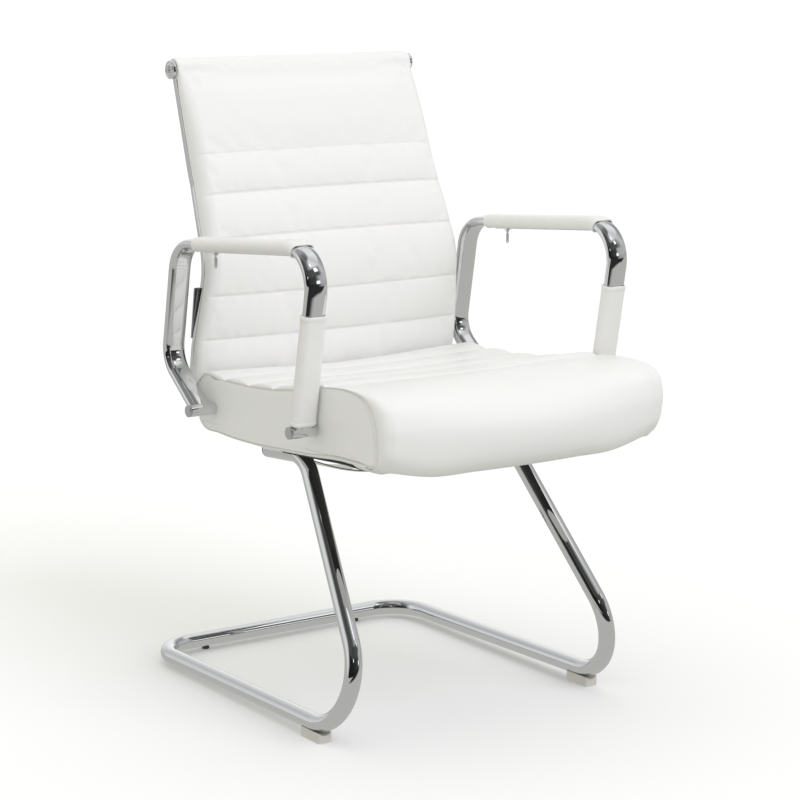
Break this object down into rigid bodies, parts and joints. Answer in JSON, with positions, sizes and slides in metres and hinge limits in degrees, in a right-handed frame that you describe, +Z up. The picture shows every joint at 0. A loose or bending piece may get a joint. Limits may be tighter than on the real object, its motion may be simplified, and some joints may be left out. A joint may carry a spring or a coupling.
{
  "type": "sled base visitor chair",
  "caption": "Visitor chair with a bent tube cantilever sled base, upholstered seat with front roll, ribbed upholstered back and sleeved loop arms.",
  "frame": {"origin": "on the floor, under the middle of the chair's overall box", "axes": "+Z up, the chair faces -Y, the sitter's left is +X"},
  "size_m": [0.576, 0.7052, 0.9491],
  "materials": {
    "chrome": "mirror chrome plate",
    "dark_chrome": "polished chrome in shade",
    "zinc": "zinc plated",
    "cast_metal": "plated die casting",
    "seat_leather": "soft sheen white upholstery leather over foam",
    "back_leather": "soft sheen white upholstery leather over foam",
    "sleeve_leather": "soft sheen white upholstery leather",
    "ply": "plain plywood",
    "pale_plastic": "moulded, matt",
    "dark_plastic": "moulded, matt",
    "zip_tape": "woven tape with moulded teeth",
    "painted": "black powder coat"
  },
  "bodies": {
    "chair": {"sled_frame": "chrome", "tube_plug_left": "dark_plastic", "tube_plug_right": "dark_plastic", "front_foot_left": "pale_plastic", "front_foot_right": "pale_plastic", "rear_glide_left": "dark_plastic", "rear_glide_right": "dark_plastic", "bow_plate": "chrome", "seat_board": "ply", "seat_stretcher_front": "painted", "seat_stretcher_rear": "painted", "frame_bolt_front_left": "zinc", "frame_bolt_front_right": "zinc", "frame_bolt_rear_left": "zinc", "frame_bolt_rear_right": "zinc", "frame_nut_front_left": "zinc", "frame_nut_front_right": "zinc", "frame_nut_rear_left": "zinc", "frame_nut_rear_right": "zinc", "seat_cushion": "seat_leather", "back_cushion": "back_leather", "side_rail_left": "chrome", "side_rail_right": "chrome", "top_tube": "chrome", "end_disc_left": "chrome", "end_disc_right": "chrome", "disc_screw_left": "zinc", "disc_screw_right": "zinc", "lumbar_plate": "dark_chrome", "lumbar_screw_low_left": "zinc", "lumbar_screw_low_right": "zinc", "lumbar_screw_high_left": "zinc", "lumbar_screw_high_right": "zinc", "arm_frame_left": "chrome", "arm_frame_right": "chrome", "arm_bolt_front_left": "zinc", "arm_bolt_front_right": "zinc", "arm_bolt_rear_left": "zinc", "arm_bolt_rear_right": "zinc", "arm_cap_front_left": "chrome", "arm_cap_front_right": "chrome", "arm_cap_rear_left": "chrome", "arm_cap_rear_right": "chrome", "top_sleeve_left": "sleeve_leather", "top_sleeve_right": "sleeve_leather", "front_sleeve_left": "sleeve_leather", "front_sleeve_right": "sleeve_leather", "zip_chain_left": "zip_tape", "zip_chain_right": "zip_tape"},
    "left_slider": {"zip_slider_left": "cast_metal"},
    "left_pull": {"zip_pull_left": "cast_metal"},
    "right_slider": {"zip_slider_right": "cast_metal"},
    "right_pull": {"zip_pull_right": "cast_metal"}
  },
  "joints": [
    {"name": "left_zip_slide", "type": "slide", "parent": "chair", "child": "left_slider", "axis": [0, -0.9965, 0.0834], "range_m": [-0.022, 0.206]},
    {"name": "left_pull_hinge", "type": "hinge", "parent": "left_slider", "child": "left_pull", "pos_m": [0.2645, 0.08246, 0.67481], "axis": [1, 0, 0], "range_deg": [-80, 80]},
    {"name": "right_zip_slide", "type": "slide", "parent": "chair", "child": "right_slider", "axis": [0, -0.9965, 0.0834], "range_m": [-0.022, 0.206]},
    {"name": "right_pull_hinge", "type": "hinge", "parent": "right_slider", "child": "right_pull", "pos_m": [-0.2645, 0.08246, 0.67481], "axis": [1, 0, 0], "range_deg": [-80, 80]}
  ]
}
